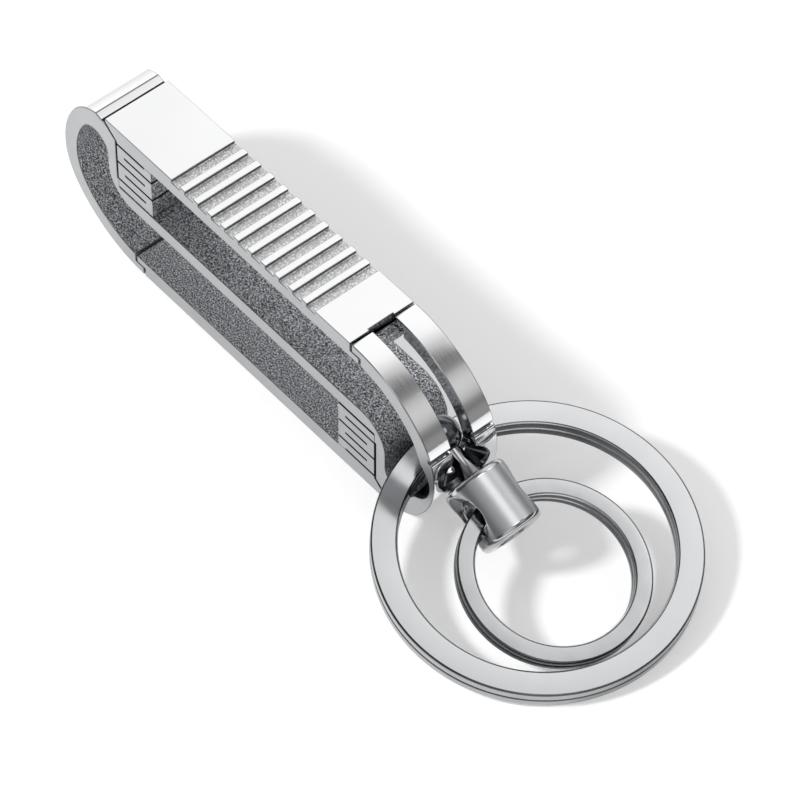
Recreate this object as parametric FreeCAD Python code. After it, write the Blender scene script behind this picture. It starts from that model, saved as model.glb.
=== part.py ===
import FreeCAD, Part
import math
import os

# A titanium belt key clip: one bar cut by wire into a frame, two sprung gates and their folded
# springs, with a large flat split ring in its nose and a swivel that carries a small split ring.
# Millimetres. X runs along the clip towards the rings, Y across its width, Z up. The origin is the
# middle of the clip's underside, the face that it stands on.

# Clip body
body_length = 62.4
body_height = 21.0
body_width = 8.8
strip = 2.15
bar_thickness = 1.9
slit = 0.28
overrun = 1.0

# Bow: the rounded end of the frame, the same at both ends, turned half round
waist_share = 0.524
knee_share = 0.238
shoulder_share = 0.857
knee_inset = 2.2
shoulder_inset = 2.2
crown_drop = 0.35
pocket_radius = 2.2
leg_thickness = 1.5
elbow_radius = 4.0

# Lap joint between a gate's free end and the bow's tip
tip_straight = 0.3
lap_overlap = 1.4
lap_gap = 0.3
lap_play = 0.15
lap_share = 0.5
thumb_notch_width = 3.4
thumb_notch_depth = 0.25

# Folded spring at each gate's root
spring_length = 5.9
spring_reach = 9.55
fold_web = 1.2
fold_round = 0.3
slit_count = 6

# Grip grooves across the key gate
groove_count = 11
groove_pitch = 2.255
groove_width = 1.4
groove_depth = 0.5

# Nose: the slot for the swivel and the seats for the large ring
nose_slot_width = 3.0
slot_end_height = 8.7
throat_radius = 3.3
throat_neck_radius = 1.6
throat_depth = 2.4
brow_height = 13.2
brow_width = 0.5
brow_depth = 0.45
side_seat_radius = 3.5
side_seat_depth = 1.6
side_seat_height = 8.7
side_seat_lip = 0.8

# Swivel: ball, rivet and barrel on one axis that points out of the nose and down
swivel_dip_deg = 24.8
ball_radius = 2.2
ball_play = 0.06
ball_seat_deg = 13.7
stem_hole_radius = 0.9
stem_neck_radius = 0.95
stem_foot_radius = 1.35
stem_reach = 5.3
barrel_play = 0.15
barrel_radius = 3.7
barrel_length = 7.6
barrel_round = 0.7
end_wall = 1.2
journal_radius = 1.0
journal_play = 0.05
rivet_head_radius = 1.7
rivet_head_thickness = 0.8
rivet_head_play = 0.1
barrel_bore_radius = 2.3
ring_hole_radius = 2.2
ring_hole_flare = 1.0

# Large split ring
large_ring_diameter = 35.2
large_ring_band = 2.9
large_ring_coil = 1.1
large_ring_pitch_deg = 8.7
large_ring_roll_deg = 2.8
large_ring_aside = 1.5
large_ring_seat = 1.75

# Small split ring, which just fits inside the large one
ring_end_gap = 0.79
small_ring_band = 2.0
small_ring_coil = 0.9
small_ring_pitch_deg = 17.0
small_ring_aside = 0.5

# Both split rings
coil_gap = 0.06
joggle_length = 2.6
ring_edge_round = 0.25

half_length = body_length / 2
half_height = body_height / 2
half_width = body_width / 2


def vec(x, z):
    return FreeCAD.Vector(x, 0, z)


def line(start, end):
    return Part.LineSegment(start, end).toShape()


def arc(centre, start, end):
    """The shorter arc about a centre, from start to end."""
    radius = (start - centre).Length
    towards = (start - centre) + (end - centre)
    middle = centre + towards.normalize() * radius
    return Part.Arc(start, middle, end).toShape()


def prism(edges):
    """A closed outline in the XZ plane, extruded over the clip's width."""
    face = Part.Face(Part.Wire(edges))
    face.translate(FreeCAD.Vector(0, -half_width, 0))
    return face.extrude(FreeCAD.Vector(0, body_width, 0))


def polygon(points):
    return [line(a, b) for a, b in zip(points, points[1:] + points[:1])]


def block(x_from, x_to, y_from, y_to, z_from, z_to):
    corner = FreeCAD.Vector(x_from, y_from, z_from)
    return Part.makeBox(x_to - x_from, y_to - y_from, z_to - z_from, corner)


def turned_half_round(shape):
    """The clip looks the same turned half round about its own middle."""
    copy = shape.copy()
    copy.rotate(vec(0, half_height), FreeCAD.Vector(0, 1, 0), 180)
    return copy


def opposite(point):
    return vec(-point.x, body_height - point.z)


def round_edges(solid, places, radius):
    """Rounds the edges across the width that pass through the given places."""
    chosen = []
    for edge in solid.Edges:
        ends = [vertex.Point for vertex in edge.Vertexes]
        across = len(ends) == 2 and abs((ends[1] - ends[0]).y) > half_width
        if across and any((vec(ends[0].x, ends[0].z) - place).Length < slit / 4 for place in places):
            chosen.append(edge)
    return solid.makeFillet(radius, chosen)


# Bow outline: two tangent arcs below the waist and two above it
waist = vec(-half_length, waist_share * body_height)
knee = vec(-half_length + knee_inset, knee_share * body_height)
shoulder = vec(-half_length + shoulder_inset, shoulder_share * body_height)
crown_height = body_height - crown_drop


def side_radius(end):
    """Radius of the arc that leaves the waist straight up or down and passes through end."""
    away = end - waist
    return away.Length ** 2 / (2 * away.x)


low_radius = side_radius(knee)
high_radius = side_radius(shoulder)
low_centre = waist + vec(low_radius, 0)
high_centre = waist + vec(high_radius, 0)
low_inward = (low_centre - knee) * (1 / low_radius)
high_inward = (high_centre - shoulder) * (1 / high_radius)
sole_radius = knee.z / (1 - low_inward.z)
crown_radius = (crown_height - shoulder.z) / (1 + high_inward.z)
sole_centre = knee + low_inward * sole_radius
crown_centre = shoulder + high_inward * crown_radius
sole_start = vec(sole_centre.x, 0)
crown_top = vec(crown_centre.x, crown_height)

# Places shared by the frame, the gates and the springs
bar_bottom = half_height - bar_thickness / 2
bar_top = half_height + bar_thickness / 2
tip_x = sole_start.x + tip_straight
heel_x = tip_x - lap_overlap
lap_height = strip * lap_share
spring_left = -half_length + spring_reach + slit / 2
spring_right = spring_left + spring_length
leg_right = spring_left - slit
leg_left = leg_right - leg_thickness
lowest_slit = bar_top + slit / 2
highest_slit = body_height - strip - slit
slit_pitch = (highest_slit - lowest_slit) / (slit_count - 1)
slit_heights = [highest_slit - number * slit_pitch for number in range(slit_count)]
gap_corner = vec(leg_right, highest_slit + slit)
gap_along = (gap_corner - crown_top).normalize()
gap_across = vec(-gap_along.z, gap_along.x)

# The nose is the belt bow turned half round, so its arc has this centre and inner radius
nose_centre = opposite(low_centre)
nose_inner_radius = low_radius - strip


def bow_edges():
    """The frame's left half, from the bar's underside round the bow to the bar's top."""
    pocket_x = leg_left - pocket_radius
    reach = high_radius - strip - pocket_radius
    pocket = vec(pocket_x, high_centre.z + math.sqrt(reach ** 2 - (pocket_x - high_centre.x) ** 2))
    pocket_join = high_centre + (pocket - high_centre).normalize() * (high_radius - strip)
    pocket_top = pocket + vec(0, pocket_radius)
    pocket_side = pocket + vec(pocket_radius, 0)
    elbow = vec(leg_left + elbow_radius, bar_bottom + elbow_radius)
    elbow_side = vec(leg_left, elbow.z)
    elbow_foot = vec(elbow.x, bar_bottom)
    inner_waist = waist + vec(strip, 0)
    inner_knee = knee + low_inward * strip
    inner_sole = vec(sole_start.x, strip)
    stretch = tip_x + lap_overlap
    root_top = slit_heights[-2] - slit / 2
    return [
        line(vec(0, bar_bottom), elbow_foot),
        arc(elbow, elbow_foot, elbow_side),
        line(elbow_side, pocket_side),
        arc(pocket, pocket_side, pocket_top),
        arc(pocket, pocket_top, pocket_join),
        arc(high_centre, pocket_join, inner_waist),
        arc(low_centre, inner_waist, inner_knee),
        arc(sole_centre, inner_knee, inner_sole),
        line(inner_sole, vec(stretch, strip)),
        line(vec(stretch, strip), vec(stretch, 0)),
        line(vec(stretch, 0), sole_start),
        arc(sole_centre, sole_start, knee),
        arc(low_centre, knee, waist),
        arc(high_centre, waist, shoulder),
        arc(crown_centre, shoulder, crown_top),
        line(crown_top, gap_corner),
        line(gap_corner, vec(leg_right, root_top)),
        line(vec(leg_right, root_top), vec(spring_left, root_top)),
        line(vec(spring_left, root_top), vec(spring_left, bar_top)),
        line(vec(spring_left, bar_top), vec(0, bar_top)),
    ]


def lap_cut():
    """Cuts the bow's tip back to a half lap: the outer half reaches further than the inner half."""
    end = tip_x + lap_overlap + overrun
    outer = block(tip_x, end, -body_width, body_width, -overrun, lap_height)
    inner = block(heel_x, end, -body_width, body_width, lap_height, strip + overrun)
    return outer.fuse(inner)


def swivel_axis():
    dip = math.radians(swivel_dip_deg)
    return vec(math.cos(dip), -math.sin(dip))


def ball_centre():
    seat = math.sqrt(ball_radius ** 2 - (nose_slot_width / 2) ** 2) + ball_play
    angle = math.radians(ball_seat_deg)
    return nose_centre + vec(math.cos(angle), math.sin(angle)) * (nose_inner_radius - seat)


def nose_cuts():
    """The slot for the swivel's stem, its flared throat, the brow lines and the ring's side seats."""
    half_slot = nose_slot_width / 2
    upper = block(0, half_length + overrun, -half_slot, half_slot, bar_top + strip, body_height + overrun)
    slot_start = ball_centre().x - ball_radius
    lower = block(slot_start, half_length + overrun, -half_slot, half_slot, slot_end_height, body_height)
    end_start = vec(slot_start, slot_end_height)
    slot_end = Part.makeCylinder(half_slot, half_length + overrun - slot_start, end_start, vec(1, 0))
    skin = low_radius - ball_throw()
    throat_base = ball_centre() + swivel_axis() * (skin - throat_depth)
    throat = Part.makeCone(throat_neck_radius, throat_radius, throat_depth, throat_base, swivel_axis())
    mouth = Part.makeCylinder(throat_radius, strip, throat_base + swivel_axis() * throat_depth, swivel_axis())
    brow_x = half_length - brow_inset() - brow_depth
    brow = block(brow_x, half_length + overrun, -body_width, body_width,
                 brow_height - brow_width / 2, brow_height + brow_width / 2)
    cuts = [upper, lower, slot_end, throat, mouth, brow]
    for side in (-1, 1):
        seat_x = half_length - side_seat_lip - side_seat_radius
        mouth_of_seat = FreeCAD.Vector(seat_x, side * half_width, side_seat_height)
        inward = FreeCAD.Vector(0, -side, 0)
        cuts.append(Part.makeCone(side_seat_radius, side_seat_radius - side_seat_depth, side_seat_depth,
                                  mouth_of_seat, inward))
    return cuts


def ball_throw():
    """How far the nose's outer skin lies short of its radius, seen from the ball along the stem."""
    offset = ball_centre() - nose_centre
    along = offset.dot(swivel_axis())
    aside = offset.Length ** 2 - along ** 2
    return low_radius - (math.sqrt(low_radius ** 2 - aside) - along)


def brow_inset():
    """How far the nose's outer skin lies inside the clip's end at the brow's height."""
    rise = brow_height - nose_centre.z
    return low_radius - math.sqrt(low_radius ** 2 - rise ** 2)


def clip_frame():
    left = bow_edges()
    right = [turned_half_round(edge) for edge in left]
    frame = prism(left + right)
    for cut in [lap_cut(), turned_half_round(lap_cut())] + nose_cuts():
        frame = frame.cut(cut)
    return frame


def gate():
    """The key gate: rooted at the left on its spring, free at the right under the nose's tips."""
    slope = gap_along.z / gap_along.x
    start = crown_top + gap_across * slit
    root_top = vec(start.x + (body_height - start.z) / slope, body_height)
    root_side = vec(spring_left, start.z + (spring_left - start.x) * slope)
    under_root = highest_slit + slit / 2
    underside = body_height - strip
    ease = underside - under_root
    outer_end = -tip_x - lap_gap
    inner_end = -heel_x - lap_gap
    tongue_top = body_height - lap_height - lap_play
    outline = [
        root_top, root_side, vec(spring_left, under_root), vec(spring_right, under_root),
        vec(spring_right + ease, underside), vec(inner_end, underside), vec(inner_end, tongue_top),
        vec(outer_end, tongue_top), vec(outer_end, body_height),
    ]
    return prism(polygon(outline))


def key_gate():
    shape = gate()
    first = -groove_pitch * (groove_count - 1) / 2
    for number in range(groove_count):
        middle = first + number * groove_pitch
        groove = block(middle - groove_width / 2, middle + groove_width / 2, -body_width, body_width,
                       body_height - groove_depth, body_height + overrun)
        shape = shape.cut(groove)
    end = -tip_x - lap_gap
    notch = block(end - thumb_notch_depth, end + overrun, -thumb_notch_width / 2, thumb_notch_width / 2,
                  body_height - lap_height - lap_play, body_height + overrun)
    return shape.cut(notch)


def gate_spring():
    """The folded spring under the key gate's root, cut by slits from its two sides in turn."""
    top = highest_slit + slit / 2
    shape = block(spring_left, spring_right, -half_width, half_width, lowest_slit + slit / 2, top)
    for number, height in enumerate(slit_heights[:-1]):
        low, high = height - slit / 2, height + slit / 2
        if number % 2 == 0:
            span = (spring_left - overrun, spring_right - fold_web)
        else:
            span = (spring_left + fold_web, spring_right + overrun)
        shape = shape.cut(block(span[0], span[1], -body_width, body_width, low, high))
    corners = []
    for number, height in enumerate(slit_heights[1:-1], start=1):
        side = spring_left if number % 2 == 0 else spring_right
        corners += [vec(side, height - slit / 2), vec(side, height + slit / 2)]
    corners = [place for place in corners if place.z > slit_heights[-2]]
    corners += [vec(spring_left, slit_heights[0] - slit / 2), vec(spring_right, lowest_slit + slit / 2)]
    return round_edges(shape, corners, fold_round)


def ring_thickness(coil):
    return 2 * coil + coil_gap


def split_ring(diameter, band, coil):
    """A flat ring of two turns, one on the other. Its axis is Z and its short joggle lies at -X."""
    outer = diameter / 2
    inner = outer - band
    tall = ring_thickness(coil)
    base = -tall / 2
    rise = coil + coil_gap

    def tube(start, height):
        return Part.makeCylinder(outer, height, vec(0, start)).cut(Part.makeCylinder(inner, height, vec(0, start)))

    half_joggle = joggle_length / 2
    opening = block(-outer - overrun, 0, -half_joggle, half_joggle, base - overrun, -base + overrun)
    turns = []
    for start in (base, base + rise):
        turn = tube(start, coil)
        edges = [edge for edge in turn.Edges if len(edge.Vertexes) == 1]
        turns.append(turn.makeFillet(ring_edge_round, edges).cut(opening))
    corners = [(-half_joggle, base), (-half_joggle, base + coil), (half_joggle, -base), (half_joggle, -base - coil)]
    ramp = polygon([FreeCAD.Vector(0, across, up) for across, up in corners])
    joggle = Part.Face(Part.Wire(ramp)).extrude(vec(-outer - overrun, 0)).common(tube(base, tall))
    return turns[0].fuse([joggle, turns[1]])


def large_ring_turn():
    """The large ring leans on the floor at its far side: tipped along the clip, then across it."""
    roll = FreeCAD.Rotation(FreeCAD.Vector(1, 0, 0), large_ring_roll_deg)
    return roll.multiply(FreeCAD.Rotation(FreeCAD.Vector(0, 1, 0), large_ring_pitch_deg))


def large_ring_centre():
    """The ring's band lies in the nose at its seat and touches the floor at its far side."""
    turn = large_ring_turn()
    normal = turn.multVec(FreeCAD.Vector(0, 0, 1))
    along = turn.multVec(FreeCAD.Vector(1, 0, 0))
    outer = large_ring_diameter / 2
    lean = math.sqrt(1 - normal.z ** 2)
    height = outer * lean + ring_thickness(large_ring_coil) / 2 * normal.z
    middle_x = -leg_left + large_ring_seat + (outer - large_ring_band / 2) * along.x
    return FreeCAD.Vector(middle_x, large_ring_aside, height)


def large_split_ring():
    ring = split_ring(large_ring_diameter, large_ring_band, large_ring_coil)
    ring.Placement = FreeCAD.Placement(large_ring_centre(), large_ring_turn())
    return ring


def barrel_start():
    return ball_centre() + swivel_axis() * (stem_reach + barrel_play)


def ring_hole_centre():
    return barrel_start() + swivel_axis() * (barrel_length / 2)


def small_ring_diameter():
    """The small ring reaches from its hole in the barrel nearly to the large ring's far inner edge."""
    turn = large_ring_turn()
    along = turn.multVec(FreeCAD.Vector(1, 0, 0)).x
    far_edge = large_ring_centre().x + (large_ring_diameter / 2 - large_ring_band) * along
    room = far_edge - ring_end_gap - ring_hole_centre().x
    return room / math.cos(math.radians(small_ring_pitch_deg)) + small_ring_band / 2


def small_split_ring():
    diameter = small_ring_diameter()
    ring = split_ring(diameter, small_ring_band, small_ring_coil)
    turn = FreeCAD.Rotation(FreeCAD.Vector(0, 1, 0), small_ring_pitch_deg)
    reach = diameter / 2 - small_ring_band / 2
    middle = ring_hole_centre() + turn.multVec(FreeCAD.Vector(1, 0, 0)) * reach
    ring.Placement = FreeCAD.Placement(middle + FreeCAD.Vector(0, small_ring_aside, 0), turn)
    return ring


def turned(profile, base):
    """Turns a profile of (distance along the axis, radius) about the swivel's axis, from base on."""
    points = [FreeCAD.Vector(radius, 0, along) for along, radius in profile]
    face = Part.Face(Part.Wire(polygon(points)))
    solid = face.revolve(FreeCAD.Vector(0, 0, 0), FreeCAD.Vector(0, 0, 1), 360)
    onto_axis = FreeCAD.Rotation(FreeCAD.Vector(0, 0, 1), swivel_axis())
    solid.Placement = FreeCAD.Placement(base, onto_axis)
    return solid


def swivel_ball():
    ball = Part.makeSphere(ball_radius, ball_centre())
    start = ball_centre() - swivel_axis() * (ball_radius + overrun)
    hole = Part.makeCylinder(stem_hole_radius, 2 * (ball_radius + overrun), start, swivel_axis())
    return ball.cut(hole)


def swivel_rivet():
    """A stem through the ball, a flared foot at the barrel, a journal in its end wall and a head inside."""
    back = -math.sqrt(ball_radius ** 2 - stem_hole_radius ** 2)
    shoulder_at = stem_reach + barrel_play + end_wall + rivet_head_play
    end = shoulder_at + rivet_head_thickness
    profile = [(back, 0), (back, stem_hole_radius), (-back, stem_hole_radius), (-back, stem_neck_radius),
               (stem_reach, stem_foot_radius), (stem_reach, journal_radius), (shoulder_at, journal_radius),
               (shoulder_at, rivet_head_radius), (end, rivet_head_radius), (end, 0)]
    return turned(profile, ball_centre())


def swivel_barrel():
    """A sleeve with an end wall that runs on the rivet, and a flared cross hole for the small ring."""
    start = barrel_start()
    body = Part.makeCylinder(barrel_radius, barrel_length, start, swivel_axis())
    rims = [edge for edge in body.Edges if len(edge.Vertexes) == 1]
    body = body.makeFillet(barrel_round, rims)
    bore_base = start + swivel_axis() * end_wall
    bore = Part.makeCylinder(barrel_bore_radius, barrel_length, bore_base, swivel_axis())
    eye_base = start - swivel_axis() * overrun
    eye = Part.makeCylinder(journal_radius + journal_play, end_wall + 2 * overrun, eye_base, swivel_axis())
    body = body.cut(bore).cut(eye)
    across = FreeCAD.Vector(0, 1, 0)
    hole_base = ring_hole_centre() - across * (barrel_radius + overrun)
    body = body.cut(Part.makeCylinder(ring_hole_radius, 2 * (barrel_radius + overrun), hole_base, across))
    wall = barrel_radius - barrel_bore_radius
    for side in (-1, 1):
        mouth = ring_hole_centre() + across * (side * barrel_radius)
        flare = Part.makeCone(ring_hole_radius + ring_hole_flare, ring_hole_radius, wall, mouth, across * -side)
        body = body.cut(flare)
    return body


parts = {
    "clip_frame": clip_frame(),
    "key_gate": key_gate(),
    "key_gate_spring": gate_spring(),
    "belt_gate": turned_half_round(gate()),
    "belt_gate_spring": turned_half_round(gate_spring()),
    "large_split_ring": large_split_ring(),
    "small_split_ring": small_split_ring(),
    "swivel_ball": swivel_ball(),
    "swivel_rivet": swivel_rivet(),
    "swivel_barrel": swivel_barrel(),
}

os.makedirs("parts", exist_ok=True)
for name, shape in parts.items():
    shape.exportStep(os.path.join("parts", name + ".step"))
    box = shape.BoundBox
    print(name, len(shape.Solids), "solid", shape.isValid(), round(shape.Volume, 2), "mm3",
          "x", round(box.XMin, 2), round(box.XMax, 2), "z", round(box.ZMin, 2), round(box.ZMax, 2))
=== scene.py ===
import bpy
import bmesh
import math
from mathutils import Matrix, Vector


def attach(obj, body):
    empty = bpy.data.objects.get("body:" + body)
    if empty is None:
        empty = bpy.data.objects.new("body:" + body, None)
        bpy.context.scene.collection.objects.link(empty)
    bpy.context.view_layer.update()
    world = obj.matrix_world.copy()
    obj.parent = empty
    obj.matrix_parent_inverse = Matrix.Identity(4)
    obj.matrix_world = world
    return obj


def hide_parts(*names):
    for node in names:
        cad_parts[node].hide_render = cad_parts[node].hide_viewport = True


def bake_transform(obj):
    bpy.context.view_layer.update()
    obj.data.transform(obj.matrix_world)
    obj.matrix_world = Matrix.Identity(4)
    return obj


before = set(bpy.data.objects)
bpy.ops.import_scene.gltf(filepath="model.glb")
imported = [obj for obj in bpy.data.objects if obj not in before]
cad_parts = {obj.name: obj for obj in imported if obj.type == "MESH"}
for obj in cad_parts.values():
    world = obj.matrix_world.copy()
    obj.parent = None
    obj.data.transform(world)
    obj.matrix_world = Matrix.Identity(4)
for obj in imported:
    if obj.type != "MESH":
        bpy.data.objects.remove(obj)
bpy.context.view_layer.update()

# Clip frame
# The middle bar, the belt bow at one end and the slotted nose at the other, wire cut from one
# titanium bar. Its flanks are ground to a satin, its outer skin is polished and its inside is blasted.

clip_height = 21.0
clip_half_width = 4.4
same_point = 0.02
flank, skin, inside, edge, groove_floor, wire_cut, seat = range(7)


def arc(centre_x, centre_z, radius, start, end):
    """Points of an arc in the clip's side view, in millimetres, between two angles in degrees."""
    steps = max(3, int(abs(end - start) * radius / 18) + 1)
    turns = [math.radians(start + (end - start) * step / steps) for step in range(steps + 1)]
    return [(centre_x + radius * math.cos(turn), centre_z + radius * math.sin(turn)) for turn in turns]


def half_turn(runs):
    """The same runs of outline, turned half round about the clip's middle."""
    return [(finish, [(-x, clip_height - z) for x, z in points]) for finish, points in runs]


def object_from(bm, name):
    bmesh.ops.recalc_face_normals(bm, faces=bm.faces)
    mesh = bpy.data.meshes.new(name)
    bm.to_mesh(mesh)
    bm.free()
    made = bpy.data.objects.new(name, mesh)
    bpy.context.scene.collection.objects.link(made)
    return made


def plate(runs, name, half_width=clip_half_width):
    """A bar cut to an outline. Each run of the outline carries the finish of its walls."""
    outline = []
    for finish, points in runs:
        for point in points:
            if not outline or math.dist(point, outline[-1][0]) > same_point:
                outline.append((point, finish))
            else:
                outline[-1] = (point, finish)
    if math.dist(outline[0][0], outline[-1][0]) < same_point:
        outline.pop()
    bm = bmesh.new()
    near = [bm.verts.new((x, -half_width, z)) for (x, z), finish in outline]
    far = [bm.verts.new((x, half_width, z)) for (x, z), finish in outline]
    bm.faces.new(near)
    bm.faces.new(far[::-1])
    for number, (point, finish) in enumerate(outline):
        after = (number + 1) % len(outline)
        wall = bm.faces.new((near[number], far[number], far[after], near[after]))
        wall.material_index = finish
    return object_from(bm, name)


def settled(piece):
    """Makes a piece's modifiers part of its plain mesh."""
    graph = bpy.context.evaluated_depsgraph_get()
    mesh = bpy.data.meshes.new_from_object(piece.evaluated_get(graph))
    piece.modifiers.clear()
    piece.data = mesh


def carve(piece, cutters):
    for cutter in cutters:
        cut = piece.modifiers.new("cut", "BOOLEAN")
        cut.operation = "DIFFERENCE"
        cut.solver = "EXACT"
        cut.object = cutter
        settled(piece)
        bpy.data.objects.remove(cutter)


def box_cutter(low, high, finish):
    bm = bmesh.new()
    bmesh.ops.create_cube(bm, size=1)
    middle = [(a + b) / 2 for a, b in zip(low, high)]
    spread = [b - a for a, b in zip(low, high)]
    bmesh.ops.scale(bm, vec=spread, verts=bm.verts)
    bmesh.ops.translate(bm, vec=middle, verts=bm.verts)
    for face in bm.faces:
        face.material_index = finish
    return object_from(bm, "cutter")


def turned_mesh(profile, base, axis, finish=0, steps=64):
    """Turns a profile of (distance along the axis, radius) about an axis from base on."""
    bm = bmesh.new()
    rows = []
    for along, radius in profile:
        if radius == 0:
            rows.append([bm.verts.new((0, 0, along))] * steps)
        else:
            turns = [2 * math.pi * step / steps for step in range(steps)]
            circle = [(radius * math.cos(turn), radius * math.sin(turn), along) for turn in turns]
            rows.append([bm.verts.new(point) for point in circle])
    closed = profile[0][1] != 0
    pairs = list(zip(rows, rows[1:])) + ([(rows[-1], rows[0])] if closed else [])
    for first, second in pairs:
        for step in range(steps):
            after = (step + 1) % steps
            corners = [first[step], first[after], second[after], second[step]]
            corners = list(dict.fromkeys(corners))
            if len(corners) > 2:
                bm.faces.new(corners).material_index = finish
    onto = Vector((0, 0, 1)).rotation_difference(Vector(axis)).to_matrix().to_4x4()
    bmesh.ops.transform(bm, matrix=Matrix.Translation(base) @ onto, verts=bm.verts)
    return object_from(bm, "turned")


def finished(piece, materials, chamfer, crease=28):
    """Gives the finishes, chamfers the sharp edges, brings the piece to metres and evens its shading."""
    weld = 0.002
    bm = bmesh.new()
    bm.from_mesh(piece.data)
    bmesh.ops.remove_doubles(bm, verts=bm.verts, dist=weld)
    bmesh.ops.dissolve_degenerate(bm, edges=bm.edges, dist=weld)
    bm.to_mesh(piece.data)
    bm.free()
    kept = [face.material_index for face in piece.data.polygons]
    piece.data.materials.clear()
    for material in materials:
        piece.data.materials.append(material)
    for face, finish in zip(piece.data.polygons, kept):
        face.material_index = finish
    if chamfer:
        soften = piece.modifiers.new("chamfer", "BEVEL")
        soften.width = chamfer
        soften.segments = 2
        soften.limit_method = "ANGLE"
        soften.angle_limit = math.radians(crease)
        soften.use_clamp_overlap = False
        soften.material = edge
        settled(piece)
    piece.data.transform(Matrix.Scale(0.001, 4))
    piece.data.shade_smooth()
    piece.data.set_sharp_from_angle(angle=math.radians(crease))
    even = piece.modifiers.new("even_normals", "WEIGHTED_NORMAL")
    even.keep_sharp = True
    settled(piece)


def grain_group():
    """Fine bead-blast pits: a mask of bright and dark specks and a height for the bump."""
    group = bpy.data.node_groups.new("blast_grain", "ShaderNodeTree")
    for name in ("Speck size", "Depth"):
        group.interface.new_socket(name, in_out="INPUT", socket_type="NodeSocketFloat")
    group.interface.new_socket("Specks", in_out="OUTPUT", socket_type="NodeSocketFloat")
    group.interface.new_socket("Height", in_out="OUTPUT", socket_type="NodeSocketFloat")
    nodes, links = group.nodes, group.links
    given = nodes.new("NodeGroupInput")
    out = nodes.new("NodeGroupOutput")
    place = nodes.new("ShaderNodeTexCoord")
    specks = nodes.new("ShaderNodeTexNoise")
    specks.inputs["Detail"].default_value = 2
    specks.inputs["Roughness"].default_value = 0.6
    spread = nodes.new("ShaderNodeMapRange")
    spread.inputs["From Min"].default_value = 0.42
    spread.inputs["From Max"].default_value = 0.64
    pits = nodes.new("ShaderNodeMath")
    pits.operation = "MULTIPLY"
    links.new(place.outputs["Object"], specks.inputs["Vector"])
    links.new(given.outputs["Speck size"], specks.inputs["Scale"])
    links.new(specks.outputs["Fac"], spread.inputs["Value"])
    links.new(spread.outputs["Result"], out.inputs["Specks"])
    links.new(spread.outputs["Result"], pits.inputs[0])
    links.new(given.outputs["Depth"], pits.inputs[1])
    links.new(pits.outputs["Value"], out.inputs["Height"])
    return group


def drift_group():
    """Slow cloudiness of a rubbed metal and fine hairlines along one direction."""
    group = bpy.data.node_groups.new("rubbed_drift", "ShaderNodeTree")
    group.interface.new_socket("Stretch", in_out="INPUT", socket_type="NodeSocketVector")
    group.interface.new_socket("Cloud", in_out="OUTPUT", socket_type="NodeSocketFloat")
    group.interface.new_socket("Hairlines", in_out="OUTPUT", socket_type="NodeSocketFloat")
    nodes, links = group.nodes, group.links
    given = nodes.new("NodeGroupInput")
    out = nodes.new("NodeGroupOutput")
    place = nodes.new("ShaderNodeTexCoord")
    cloud = nodes.new("ShaderNodeTexNoise")
    cloud.inputs["Scale"].default_value = 180
    cloud.inputs["Detail"].default_value = 3
    stretch = nodes.new("ShaderNodeVectorMath")
    stretch.operation = "MULTIPLY"
    lines = nodes.new("ShaderNodeTexNoise")
    lines.inputs["Scale"].default_value = 1
    lines.inputs["Detail"].default_value = 3
    links.new(place.outputs["Object"], cloud.inputs["Vector"])
    links.new(place.outputs["Object"], stretch.inputs[0])
    links.new(given.outputs["Stretch"], stretch.inputs[1])
    links.new(stretch.outputs["Vector"], lines.inputs["Vector"])
    links.new(cloud.outputs["Fac"], out.inputs["Cloud"])
    links.new(lines.outputs["Fac"], out.inputs["Hairlines"])
    return group


blast_grain = grain_group()
rubbed_drift = drift_group()


def blasted(name, dark, light, roughness, depth, speck_size):
    """Bead-blasted titanium: specks of two greys, rough, with fine pits."""
    material = bpy.data.materials.new(name)
    material.use_nodes = True
    nodes, links = material.node_tree.nodes, material.node_tree.links
    metal = nodes["Principled BSDF"]
    metal.inputs["Metallic"].default_value = 1
    metal.inputs["Roughness"].default_value = roughness
    grain = nodes.new("ShaderNodeGroup")
    grain.node_tree = blast_grain
    grain.inputs["Speck size"].default_value = speck_size
    grain.inputs["Depth"].default_value = depth
    tone = nodes.new("ShaderNodeMix")
    tone.data_type = "RGBA"
    tone.inputs["A"].default_value = (*dark, 1)
    tone.inputs["B"].default_value = (*light, 1)
    bump = nodes.new("ShaderNodeBump")
    bump.inputs["Distance"].default_value = 0.00006
    links.new(grain.outputs["Specks"], tone.inputs["Factor"])
    links.new(tone.outputs["Result"], metal.inputs["Base Color"])
    links.new(grain.outputs["Height"], bump.inputs["Height"])
    links.new(bump.outputs["Normal"], metal.inputs["Normal"])
    return material


def rubbed(name, dark, light, smooth, rough, stretch):
    """Ground or polished titanium: slow clouds in its tone and fine hairlines in its gloss."""
    material = bpy.data.materials.new(name)
    material.use_nodes = True
    nodes, links = material.node_tree.nodes, material.node_tree.links
    metal = nodes["Principled BSDF"]
    metal.inputs["Metallic"].default_value = 1
    drift = nodes.new("ShaderNodeGroup")
    drift.node_tree = rubbed_drift
    drift.inputs["Stretch"].default_value = stretch
    tone = nodes.new("ShaderNodeMix")
    tone.data_type = "RGBA"
    tone.inputs["A"].default_value = (*dark, 1)
    tone.inputs["B"].default_value = (*light, 1)
    gloss = nodes.new("ShaderNodeMapRange")
    gloss.inputs["From Min"].default_value = 0.3
    gloss.inputs["From Max"].default_value = 0.7
    gloss.inputs["To Min"].default_value = smooth
    gloss.inputs["To Max"].default_value = rough
    links.new(drift.outputs["Cloud"], tone.inputs["Factor"])
    links.new(tone.outputs["Result"], metal.inputs["Base Color"])
    links.new(drift.outputs["Hairlines"], gloss.inputs["Value"])
    links.new(gloss.outputs["Result"], metal.inputs["Roughness"])
    return material


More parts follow.
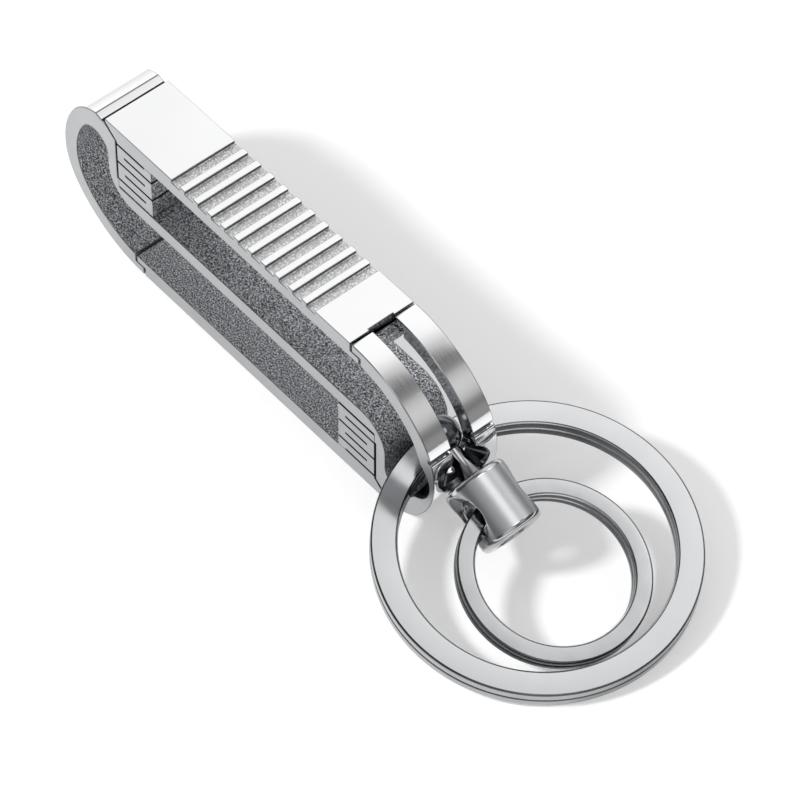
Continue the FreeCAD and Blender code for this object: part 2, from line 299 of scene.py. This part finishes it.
satin_flank = rubbed("satin_flank", (0.39, 0.40, 0.41), (0.47, 0.48, 0.49), 0.32, 0.42, (300, 300, 6000))
even_rub = (300, 300, 300)
cross_rub = (300, 5000, 300)
polished_skin = rubbed("polished_skin", (0.86, 0.862, 0.87), (0.91, 0.912, 0.92), 0.06, 0.11, cross_rub)
# The chamfers' dark grey is a painted reflection: it draws the dark lines along the clip's edges.
polished_edge_painted_dark = rubbed("polished_edge_painted_dark", (0.2, 0.204, 0.212), (0.27, 0.274, 0.284), 0.12, 0.2, even_rub)
blasted_inside = blasted("blasted_inside", (0.09, 0.095, 0.105), (0.95, 0.97, 1.0), 0.5, 0.7, 6000)
blasted_groove = blasted("blasted_groove", (0.54, 0.54, 0.55), (1.0, 1.0, 1.0), 0.28, 0.45, 4800)
# The wire-cut walls are near black: painted shade in the narrow slits and seams.
painted_shade_cut = blasted("painted_shade_cut", (0.02, 0.02, 0.021), (0.06, 0.06, 0.062), 0.6, 0.4, 6000)
# A near-black metal for the ball's seats, the throat, the grooves' walls, the barrel's cross hole and the
# ball: painted shade in these hollows and behind the slot.
painted_shade_metal = rubbed("painted_shade_metal", (0.10, 0.104, 0.112), (0.17, 0.175, 0.185), 0.1, 0.2, (500, 500, 500))
clip_finishes = [
    satin_flank, polished_skin, blasted_inside, polished_edge_painted_dark, blasted_groove, painted_shade_cut, painted_shade_metal,
]

half_frame = [
    (inside, [(0, 9.55)] + arc(-19.29, 13.55, 4.0, 270, 180)),
    (inside, arc(-25.49, 15.424, 2.2, 0, 145.8)),
    (inside, arc(-18.986, 11.004, 10.064, 145.8, 180)),
    (inside, arc(-21.902, 11.004, 7.148, 180, 220.24)),
    (inside, arc(-18.223, 14.117, 11.967, 220.24, 264.74)),
    (wire_cut, [(-19.32, 1.075), (-17.92, 1.075)]),
    (skin, [(-17.92, 0)] + arc(-18.223, 14.117, 14.117, 270, 220.24)),
    (skin, arc(-21.902, 11.004, 9.298, 220.24, 180)),
    (skin, arc(-18.986, 11.004, 12.214, 180, 145.07)),
    (skin, arc(-23.912, 14.444, 6.206, 145.07, 101)),
    (wire_cut, [(-24.18, 20.24), (-23.4, 20.07), (-21.79, 18.85), (-21.79, 12.846), (-21.51, 12.846)]),
    (inside, [(-21.51, 11.45)]),
]
clip_frame = plate(half_frame + half_turn(half_frame), "clip_frame_body")
ball_place = Vector((27.2248, 0, 11.2936))
swivel_axis = Vector((0.9077775, 0, -0.4194521))
slot_outline = [(1.5, 22.0)] + arc(0, 8.7, 1.5, 0, -180) + [(-1.5, 22.0)]
slot = plate([(skin, slot_outline)], "cutter", 3.6)
slot.data.transform(Matrix.Translation((28.62, 0, 0)) @ Matrix.Rotation(math.pi / 2, 4, "Z"))
seats = []
for side in (-1, 1):
    seat_mouth = Vector((26.9, side * clip_half_width, 8.7))
    seat_profile = [(-0.2, 0), (-0.2, 3.7), (1.6, 1.9), (1.6, 0)]
    seats.append(turned_mesh(seat_profile, seat_mouth, (0, -side, 0), seat))
throat_profile = [(1.962, 0), (1.962, 1.6), (4.362, 3.3), (6.6, 3.3), (6.6, 0)]
throat = turned_mesh(throat_profile, ball_place, swivel_axis, seat)
slot_top = box_cutter((0.5, -1.5, 13.6), (26.0, 1.5, 22.0), skin)
brow_line = box_cutter((30.18, -6, 12.95), (32.0, 6, 13.45), skin)
carve(clip_frame, [slot_top, slot, throat, brow_line] + seats)
frame_chamfer = 0.11
finished(clip_frame, clip_finishes, frame_chamfer)
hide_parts("clip_frame")
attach(clip_frame, "frame")

# Gates
# The key gate on top with eleven grip grooves, and the belt gate that the clip stands on. Each is a
# strip of the same bar, freed by the wire cut, with a half-lap tongue that catches in the bow's tip.

half_gate = [
    (skin, [(17.62, 21.0)]),
    (wire_cut, [(-23.42, 21.0), (-23.42, 20.599), (-21.51, 18.977), (-21.51, 18.71)]),
    (inside, [(-15.61, 18.71), (-15.47, 18.85), (19.02, 18.85)]),
    (inside, [(19.02, 19.775), (17.62, 19.775)]),
]


def groove_tree():
    """Grooves across a plate: a row of bars, evenly spaced, cut from the plate's top."""
    tree = bpy.data.node_groups.new("grip_grooves", "GeometryNodeTree")
    face = tree.interface
    face.new_socket("Plate", in_out="INPUT", socket_type="NodeSocketGeometry")
    face.new_socket("Count", in_out="INPUT", socket_type="NodeSocketInt")
    face.new_socket("Pitch", in_out="INPUT", socket_type="NodeSocketFloat")
    face.new_socket("Groove size", in_out="INPUT", socket_type="NodeSocketVector")
    face.new_socket("Height", in_out="INPUT", socket_type="NodeSocketFloat")
    face.new_socket("Finish", in_out="INPUT", socket_type="NodeSocketMaterial")
    face.new_socket("Grooved plate", in_out="OUTPUT", socket_type="NodeSocketGeometry")
    nodes, links = tree.nodes, tree.links
    given = nodes.new("NodeGroupInput")
    out = nodes.new("NodeGroupOutput")
    last = nodes.new("ShaderNodeMath")
    last.operation = "SUBTRACT"
    last.inputs[1].default_value = 1
    reach = nodes.new("ShaderNodeMath")
    reach.operation = "MULTIPLY"
    start_x = nodes.new("ShaderNodeMath")
    start_x.operation = "MULTIPLY"
    start_x.inputs[1].default_value = -0.5
    start = nodes.new("ShaderNodeCombineXYZ")
    step = nodes.new("ShaderNodeCombineXYZ")
    row = nodes.new("GeometryNodeMeshLine")
    bar = nodes.new("GeometryNodeMeshCube")
    placed = nodes.new("GeometryNodeInstanceOnPoints")
    bars = nodes.new("GeometryNodeRealizeInstances")
    cut = nodes.new("GeometryNodeMeshBoolean")
    cut.operation = "DIFFERENCE"
    cut.solver = "EXACT"
    whole = nodes.new("GeometryNodeRealizeInstances")
    dress = nodes.new("GeometryNodeSetMaterial")
    links.new(given.outputs["Count"], last.inputs[0])
    links.new(last.outputs[0], reach.inputs[0])
    links.new(given.outputs["Pitch"], reach.inputs[1])
    links.new(reach.outputs[0], start_x.inputs[0])
    links.new(start_x.outputs[0], start.inputs["X"])
    links.new(given.outputs["Height"], start.inputs["Z"])
    links.new(given.outputs["Pitch"], step.inputs["X"])
    links.new(given.outputs["Count"], row.inputs["Count"])
    links.new(start.outputs[0], row.inputs["Start Location"])
    links.new(step.outputs[0], row.inputs["Offset"])
    links.new(given.outputs["Groove size"], bar.inputs["Size"])
    links.new(row.outputs["Mesh"], placed.inputs["Points"])
    links.new(bar.outputs["Mesh"], placed.inputs["Instance"])
    links.new(placed.outputs["Instances"], bars.inputs["Geometry"])
    links.new(given.outputs["Plate"], cut.inputs["Mesh 1"])
    links.new(bars.outputs["Geometry"], cut.inputs["Mesh 2"])
    links.new(cut.outputs["Mesh"], whole.inputs["Geometry"])
    links.new(whole.outputs["Geometry"], dress.inputs["Geometry"])
    links.new(given.outputs["Finish"], dress.inputs["Material"])
    links.new(dress.outputs["Geometry"], out.inputs["Grooved plate"])
    return tree


key_gate = plate(half_gate, "key_gate_plate")
carve(key_gate, [box_cutter((17.37, -1.7, 19.775), (19.5, 1.7, 22), inside)])
grip = key_gate.modifiers.new("grip", "NODES")
grip.node_group = groove_tree()
groove_values = {
    "Count": 11, "Pitch": 2.255, "Groove size": (1.4, 14.0, 1.0), "Height": 21.0, "Finish": polished_skin,
}
for socket in grip.node_group.interface.items_tree:
    if socket.in_out == "INPUT" and socket.name in groove_values:
        grip[socket.identifier] = groove_values[socket.name]
settled(key_gate)
# The grooves' cut leaves one finish on all walls, so each gets its own again by its place
root_end = -16
floor_level, wall_level, top_level = 20.3, 20.4, 20.9
for face in key_gate.data.polygons:
    middle, normal = face.center, face.normal
    if abs(normal.y) > 0.9:
        face.material_index = flank
    elif middle.x < root_end and (normal.x < -0.5 or normal.z < -0.9):
        face.material_index = wire_cut
    elif normal.z > 0.9 and middle.z > floor_level:
        face.material_index = skin if middle.z > top_level else groove_floor
    # The grooves' walls get the seat's near-black finish, painted shade in the grooves.
    elif middle.z > wall_level:
        face.material_index = seat
    else:
        face.material_index = inside
gate_chamfer = 0.07
finished(key_gate, clip_finishes, gate_chamfer)
# The ribs' lower chamfers are blasted with the floors, and their upper ones towards the nose are polished
ribs_reach = 0.0165
ribs_shoulder = 0.0208
for face in key_gate.data.polygons:
    among_ribs = face.material_index == edge and abs(face.center.x) < ribs_reach
    if among_ribs and abs(face.normal.y) < 0.3 and face.normal.z > 0.3:
        if face.center.z < ribs_shoulder:
            face.material_index = groove_floor
        elif face.normal.x > 0:
            face.material_index = skin
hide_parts("key_gate")
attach(key_gate, "key_gate")

belt_gate = plate(half_turn(half_gate), "belt_gate_plate")
finished(belt_gate, clip_finishes, gate_chamfer)
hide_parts("belt_gate")
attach(belt_gate, "belt_gate")

# Folded springs
# At each gate's root the bar is slit from both sides in turn, so that five short folds remain. They
# are the hinge and the spring at once, and bend from the frame at one end to the gate at the other.

spring_left, spring_right = -21.51, -15.61
half_slit = 0.14
fold_web = 1.2
spring_chamfer = 0.04
fold_outline = [(spring_left, 11.73), (spring_left, 12.846)]
left_slits = (12.986, 15.778, 18.57)
right_slits = (17.174, 14.382)
for height in left_slits:
    low, high = height - half_slit, height + half_slit
    fold_outline += [(spring_left, low), (spring_right - fold_web, low), (spring_right - fold_web, high)]
    if height != left_slits[-1]:
        fold_outline.append((spring_left, high))
half_spring = [(wire_cut, fold_outline), (inside, [(spring_right, 18.71)])]
for height in right_slits:
    low, high = height - half_slit, height + half_slit
    slit = [(spring_right, high), (spring_left + fold_web, high), (spring_left + fold_web, low)]
    half_spring += [(wire_cut, slit), (inside, [(spring_right, low)])]
half_spring.append((wire_cut, [(spring_right, 11.73)]))
key_spring = plate(half_spring, "key_gate_folds")
finished(key_spring, clip_finishes, spring_chamfer)
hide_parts("key_gate_spring")
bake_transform(key_spring)
belt_spring = plate(half_turn(half_spring), "belt_gate_folds")
finished(belt_spring, clip_finishes, spring_chamfer)
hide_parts("belt_gate_spring")
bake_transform(belt_spring)

# Split rings
# Flat titanium band wound to two turns that lie on each other, with a short joggle where the lower
# turn climbs to the upper one. The large ring hangs in the nose, the small one in the barrel.


def wound_ring(name, outer, band, coil, place, turn):
    """Sweeps a rounded band round two turns. The joggle lies at the ring's own -X."""
    inner = outer - band
    turn_gap = 0.06
    rise = (coil + turn_gap) / 2
    edges = (
        (outer, coil / 2, 0, 0.2),
        (inner, coil / 2, 90, 0.28),
        (inner, -coil / 2, 180, 0.14),
        (outer, -coil / 2, 270, 0.14),
    )
    corners = []
    for across, up, start, round_over in edges:
        inward = 1 if across == inner else -1
        downward = -1 if up > 0 else 1
        centre = (across + inward * round_over, up + downward * round_over)
        for step in range(4):
            angle = math.radians(start + step * 30)
            away = (round_over * math.cos(angle), round_over * math.sin(angle))
            corners.append((centre[0] + away[0], centre[1] + away[1]))
    # Three facets of each rounded edge, then the flat that follows it, from the outer top edge inwards
    face, wall, rim = range(3)
    # Painted shade and highlights: the wall's near black on the outer top edge, the inner wall and beside
    # single light facets draws shade and dark edge lines, and the face's grey on those single facets draws
    # highlight lines.
    side_painted_tones = [wall, wall, wall, face] + [wall, face, wall, wall]
    side_painted_tones += [wall, face, face, face] + [face, face, face, rim]
    joggle_reach = 1.3
    half_joggle = joggle_reach / (outer - band / 2)
    path = []
    steps = 160
    for step in range(steps + 1):
        path.append((half_joggle + (2 * math.pi - 2 * half_joggle) * step / steps, -rise))
    for step in range(1, 12):
        share = step / 12
        path.append((2 * math.pi - half_joggle + 2 * half_joggle * share, -rise + 2 * rise * share))
    for step in range(steps + 1):
        path.append((2 * math.pi + half_joggle + (2 * math.pi - 2 * half_joggle) * step / steps, rise))
    bm = bmesh.new()
    rows = []
    for angle, height in path:
        x, y = -math.cos(angle), math.sin(angle)
        rows.append([bm.verts.new((r * x, r * y, up + height)) for r, up in corners])
    for first, second in zip(rows, rows[1:]):
        for number in range(len(corners)):
            after = (number + 1) % len(corners)
            side = bm.faces.new((first[number], first[after], second[after], second[number]))
            side.material_index = side_painted_tones[number]
    bm.faces.new(rows[0])
    bm.faces.new(rows[-1][::-1])
    bmesh.ops.transform(bm, matrix=Matrix.Translation(place) @ turn, verts=bm.verts)
    return object_from(bm, name)


satin_ring = rubbed("satin_ring", (0.72, 0.73, 0.745), (0.78, 0.79, 0.805), 0.12, 0.18, (400, 400, 400))
# The rings' wall finish is near black: painted shade on the inner walls and painted dark lines on the
# edges.
ring_wall_painted_shade = rubbed("ring_wall_painted_shade", (0.02, 0.022, 0.026), (0.2, 0.205, 0.215), 0.14, 0.3, (500, 500, 5000))
ring_rim = rubbed("ring_rim", (0.34, 0.345, 0.355), (0.48, 0.485, 0.495), 0.2, 0.32, (400, 400, 9000))
large_turn = Matrix.Rotation(math.radians(2.8), 4, "X") @ Matrix.Rotation(math.radians(8.7), 4, "Y")
large_ring = wound_ring("large_ring_band", 17.6, 2.9, 1.1, Vector((41.0042, 1.5, 3.9102)), large_turn)
finished(large_ring, [satin_ring, ring_wall_painted_shade, ring_rim], 0, 40)
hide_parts("large_split_ring")
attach(large_ring, "large_ring")
small_turn = Matrix.Rotation(math.radians(17), 4, "Y")
small_ring = wound_ring("small_ring_band", 10.5, 2.0, 0.9, Vector((44.707, 0.5, 4.636)), small_turn)
# The small ring's outer wall takes the near-black wall finish too: painted shade inside the large ring.
finished(small_ring, [satin_ring, ring_wall_painted_shade, ring_wall_painted_shade], 0, 40)
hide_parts("small_split_ring")
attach(small_ring, "small_ring")

# Swivel
# A ball rolls behind the nose's slot. A rivet goes through it with a flared foot, and its head turns
# inside the barrel's end wall. The barrel is turned and polished, with a flared cross hole.

# The rivet's dark grey is painted shade in the nose's slot and the throat.
painted_shade_stem = rubbed("painted_shade_stem", (0.20, 0.20, 0.21), (0.28, 0.28, 0.29), 0.1, 0.18, even_rub)
ball_radius = 2.2
ball_turns = [math.radians(turn) for turn in range(-64, 65, 8)]
ball_profile = [(ball_radius * math.sin(turn), ball_radius * math.cos(turn)) for turn in ball_turns]
ball = turned_mesh(ball_profile + [(1.98, 0.9), (-1.98, 0.9)], ball_place, swivel_axis)
ball.name = "swivel_ball_turned"
# The ball is coloured near black, painted shade behind the nose's slot.
finished(ball, [painted_shade_metal], 0)
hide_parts("swivel_ball")
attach(ball, "stem")
rivet_profile = [
    (-2.007, 0), (-2.007, 0.8), (-1.9, 0.9), (2.007, 0.9), (2.007, 0.95), (3.2, 1.0), (4.3, 1.1),
    (5.0, 1.26), (5.3, 1.35), (5.3, 1.0), (6.75, 1.0), (6.75, 1.6), (6.85, 1.7), (7.45, 1.7),
    (7.55, 1.6), (7.55, 0),
]
rivet = turned_mesh(rivet_profile, ball_place, swivel_axis)
rivet.name = "swivel_rivet_turned"
finished(rivet, [painted_shade_stem], 0)
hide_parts("swivel_rivet")
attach(rivet, "stem")
polished_barrel = rubbed("polished_barrel", (0.47, 0.477, 0.49), (0.51, 0.517, 0.53), 0.36, 0.38, even_rub)
barrel_rim = rubbed("barrel_rim", (0.50, 0.505, 0.515), (0.58, 0.585, 0.595), 0.12, 0.2, even_rub)
# The cross hole's walls get the near-black seat finish, painted shade in the hole.
barrel_finishes = [polished_barrel, polished_barrel, painted_shade_metal, barrel_rim]
barrel_start = 5.45
barrel_place = ball_place + swivel_axis * barrel_start
barrel_length = 7.6
barrel_round = 0.7
rim = []
for degrees in range(0, 91, 15):
    turn = math.radians(degrees)
    rim.append((barrel_round - barrel_round * math.cos(turn), 3.0 + barrel_round * math.sin(turn)))
far_rim = [(barrel_length - along, radius) for along, radius in rim[::-1]]
barrel_profile = [(1.2, 1.05), (0, 1.05)] + rim + far_rim + [(barrel_length, 2.3), (1.2, 2.3)]
barrel = turned_mesh(barrel_profile, barrel_place, swivel_axis, steps=96)
barrel.name = "swivel_barrel_turned"
hole_place = barrel_place + swivel_axis * (barrel_length / 2)
half_cross = [(4.7, 0), (4.7, 4.2), (3.7, 3.2), (2.3, 2.2)]
cross_profile = [(-along, radius) for along, radius in half_cross] + half_cross[::-1]
carve(barrel, [turned_mesh(cross_profile, hole_place, (0, 1, 0), inside)])
for side in barrel.data.polygons:
    along = (side.center - barrel_place).dot(swivel_axis)
    if side.material_index == flank and not barrel_round < along < barrel_length - barrel_round:
        side.material_index = edge
barrel_chamfer = 0.12
finished(barrel, barrel_finishes, barrel_chamfer, 33)
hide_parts("swivel_barrel")
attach(barrel, "barrel")

# Table, light and camera
# A plain white table. Soft bright areas round a dim room give the metal its highlights, the widest
# of them overhead at the far side, and a lamp at the clip's near side throws its shadow.


def plain_sight(tree):
    """A mask of the rays that show a thing as it is: camera, glossy and transmission rays."""
    ray = tree.nodes.new("ShaderNodeLightPath")
    seen = tree.nodes.new("ShaderNodeMath")
    seen.operation = "MAXIMUM"
    through = tree.nodes.new("ShaderNodeMath")
    through.operation = "MAXIMUM"
    tree.links.new(ray.outputs["Is Camera Ray"], seen.inputs[0])
    tree.links.new(ray.outputs["Is Glossy Ray"], seen.inputs[1])
    tree.links.new(seen.outputs[0], through.inputs[0])
    tree.links.new(ray.outputs["Is Transmission Ray"], through.inputs[1])
    return through.outputs[0]


bm = bmesh.new()
bmesh.ops.create_circle(bm, cap_ends=True, segments=64, radius=0.7)
bmesh.ops.translate(bm, vec=(0.01, 0, -0.00006), verts=bm.verts)
table = object_from(bm, "table")
white_table = bpy.data.materials.new("white_table")
white_table.use_nodes = True
table_nodes = white_table.node_tree.nodes
table_face = table_nodes["Principled BSDF"]
table_face.inputs["Base Color"].default_value = (0.8, 0.8, 0.8, 1)
table_face.inputs["Roughness"].default_value = 0.9
table_face.inputs["Specular IOR Level"].default_value = 0
table_face.inputs["Emission Color"].default_value = (1, 1, 1, 1)
lift = table_nodes.new("ShaderNodeMath")
lift.operation = "MULTIPLY"
lift.inputs[1].default_value = 0.2
white_table.node_tree.links.new(plain_sight(white_table.node_tree), lift.inputs[0])
white_table.node_tree.links.new(lift.outputs[0], table_face.inputs["Emission Strength"])
table.data.materials.append(white_table)

world = bpy.data.worlds.new("studio")
bpy.context.scene.world = world
world.use_nodes = True
nodes, links = world.node_tree.nodes, world.node_tree.links
direction = nodes.new("ShaderNodeTexCoord")


def soft_card(towards, level, stops, others):
    """Adds a soft bright area of the room round one direction, by its falloff, to the other areas."""
    turned_to = nodes.new("ShaderNodeVectorMath")
    turned_to.operation = "DOT_PRODUCT"
    turned_to.inputs[1].default_value = towards
    fall = nodes.new("ShaderNodeFloatCurve")
    curve = fall.mapping.curves[0]
    curve.points[0].location = (0, stops[0][1])
    curve.points[1].location = stops[-1]
    for stop in stops[:-1]:
        curve.points.new(*stop)
    for point in curve.points:
        point.handle_type = "AUTO_CLAMPED"
    fall.mapping.update()
    added = nodes.new("ShaderNodeMath")
    added.operation = "MULTIPLY_ADD"
    added.inputs[1].default_value = level
    links.new(direction.outputs["Generated"], turned_to.inputs[0])
    links.new(turned_to.outputs["Value"], fall.inputs["Value"])
    links.new(fall.outputs["Value"], added.inputs[0])
    if others:
        links.new(others, added.inputs[2])
    else:
        added.inputs[2].default_value = 0
    return added.outputs[0]


overhead_falloff = [
    (0.6, 0.07), (0.7, 0.1), (0.784, 0.2), (0.857, 0.5), (0.915, 0.79), (0.953, 0.95), (1, 1),
]
room = soft_card((-0.299, 0.641, 0.707), 1.14, overhead_falloff, None)
room = soft_card((0.69, 0.41, 0.6), 0.55, [(0.88, 0), (0.94, 0.15), (0.985, 0.75), (1, 1)], room)
barrel_falloff = [(0.948, 0), (0.96, 0.2), (0.972, 0.62), (0.985, 0.95), (1, 1)]
room = soft_card((0.33, 0.08, 0.94), 2.8, barrel_falloff, room)
room = soft_card((0.28, -0.43, 0.86), 0.55, [(0.74, 0), (0.8, 0.1), (0.9, 0.55), (1, 1)], room)
room = soft_card((0.2, 0.66, 0.72), 1.25, [(0.95, 0), (0.965, 0.3), (0.982, 0.85), (1, 1)], room)
room = soft_card((0.9, 0.41, 0.1), 0.25, [(0.95, 0), (0.985, 0.6), (1, 1)], room)
room = soft_card((-0.88, 0.41, 0.25), 0.9, [(0.84, 0), (0.9, 0.2), (0.95, 0.8), (1, 1)], room)
side_falloff = [(0.8, 0), (0.9, 0.5), (0.96, 0.95), (1, 1)]
room = soft_card((0.85, -0.4, 0.34), 0.6, side_falloff, room)
room = soft_card((-0.93, -0.15, 0.33), 0.7, side_falloff, room)
level = nodes.new("ShaderNodeMix")
level.inputs["A"].default_value = 0.75
links.new(plain_sight(world.node_tree), level.inputs["Factor"])
links.new(room, level.inputs["B"])
links.new(level.outputs["Result"], nodes["Background"].inputs["Strength"])
nodes["Background"].inputs["Color"].default_value = (1, 1, 1, 1)

lamp_data = bpy.data.lights.new("near_lamp", "AREA")
lamp_data.shape = "DISK"
lamp_data.size = 0.08
lamp_data.energy = 1.7
lamp = bpy.data.objects.new("near_lamp", lamp_data)
lamp.location = (-0.12, -0.32, 0.36)
lamp.rotation_euler = (Vector((0.01, 0, 0)) - lamp.location).to_track_quat("-Z", "Y").to_euler()
lamp.visible_glossy = False
bpy.context.scene.collection.objects.link(lamp)

camera_data = bpy.data.cameras.new("camera")
camera_data.sensor_width = 36
camera_data.lens = 213.316
camera = bpy.data.objects.new("camera", camera_data)
right = Vector((0.64904, 0.76075, 0.00345))
up = Vector((-0.59592, 0.50558, 0.62391))
back = Vector((0.4729, -0.407, 0.78149))
stand = Matrix.Translation((0.257193, -0.203647, 0.401876))
camera.matrix_world = stand @ Matrix((right, up, back)).transposed().to_4x4()
bpy.context.scene.collection.objects.link(camera)
bpy.context.scene.camera = camera
bpy.context.scene.view_settings.view_transform = "Standard"
